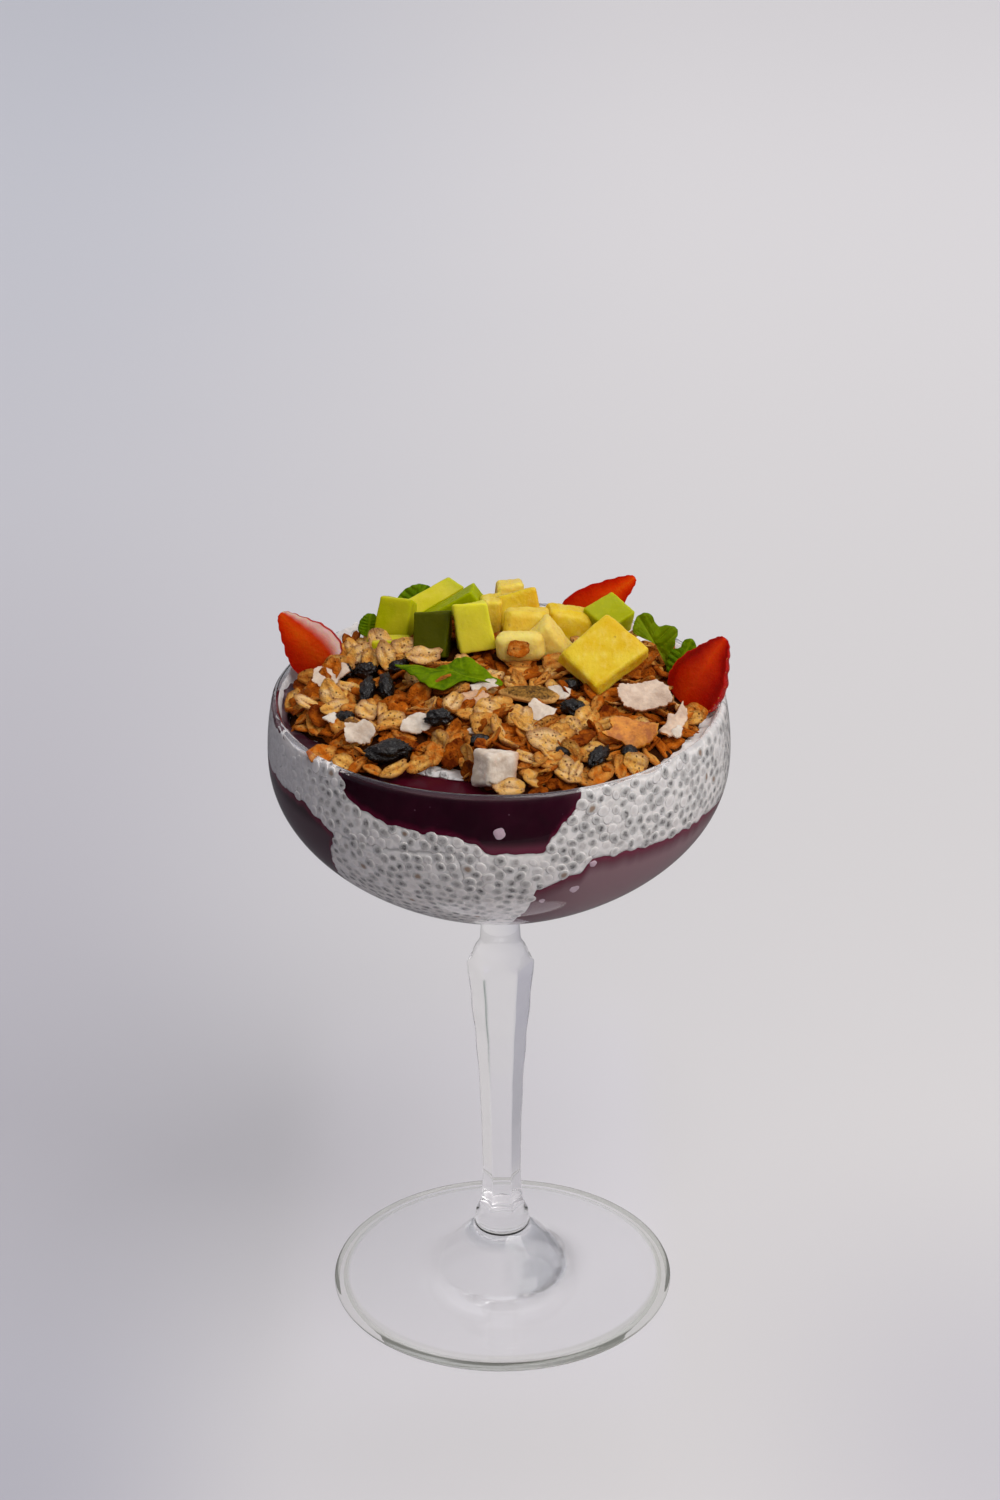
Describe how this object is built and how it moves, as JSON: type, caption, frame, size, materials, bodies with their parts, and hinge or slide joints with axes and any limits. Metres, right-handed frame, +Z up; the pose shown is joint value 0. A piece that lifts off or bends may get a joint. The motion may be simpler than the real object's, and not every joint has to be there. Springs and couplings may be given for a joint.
{
  "type": "cup of chia pudding",
  "caption": "Stemmed coupe glass filled with layers of chia pudding and berry sauce, topped with granola, cut fruit and mint.",
  "frame": {"origin": "centre of the foot, on the plane it stands on", "axes": "+Z up along the stem; -Y is the front, where the upper berry layer shows; +X is to the right"},
  "size_m": [0.1004, 0.1004, 0.1675],
  "materials": {
    "glass": "clear polished",
    "pudding": "moist",
    "berry_sauce": "glossy",
    "oats": "toasted",
    "melon": "moist cut fruit",
    "pineapple": "moist cut fruit",
    "strawberry": "moist cut fruit",
    "mint": "leaf",
    "coconut": "dry",
    "raisin": "satin",
    "seed": "satin"
  },
  "bodies": {
    "root": {"berry_layer_lower": "berry_sauce", "berry_layer_upper": "berry_sauce", "berry_smear": "berry_sauce", "black_grain": "raisin", "coconut_back_left": "coconut", "coconut_far_left": "coconut", "coconut_front": "coconut", "coconut_half_moon": "coconut", "coconut_middle": "coconut", "coconut_toasted": "coconut", "coconut_white_left": "coconut", "coconut_white_right": "coconut", "glass": "glass", "granola": "oats", "melon_back": "melon", "melon_front": "melon", "melon_left": "melon", "melon_low_left": "melon", "melon_right": "melon", "melon_shaded": "melon", "mint_back": "mint", "mint_front": "mint", "mint_left": "mint", "mint_right": "mint", "mint_right_low": "mint", "pineapple_back": "pineapple", "pineapple_high": "pineapple", "pineapple_low": "pineapple", "pineapple_mid": "pineapple", "pineapple_round": "pineapple", "pineapple_side": "pineapple", "pineapple_slab": "pineapple", "pineapple_tall": "pineapple", "pudding_base": "pudding", "pudding_main": "pudding", "pumpkin_seed": "seed", "raisin_centre": "raisin", "raisin_front": "raisin", "raisin_left_a": "raisin", "raisin_left_b": "raisin", "raisin_mid_a": "raisin", "raisin_mid_b": "raisin", "raisin_right": "raisin", "strawberry_back": "strawberry", "strawberry_left": "strawberry", "strawberry_right": "strawberry"}
  },
  "joints": []
}
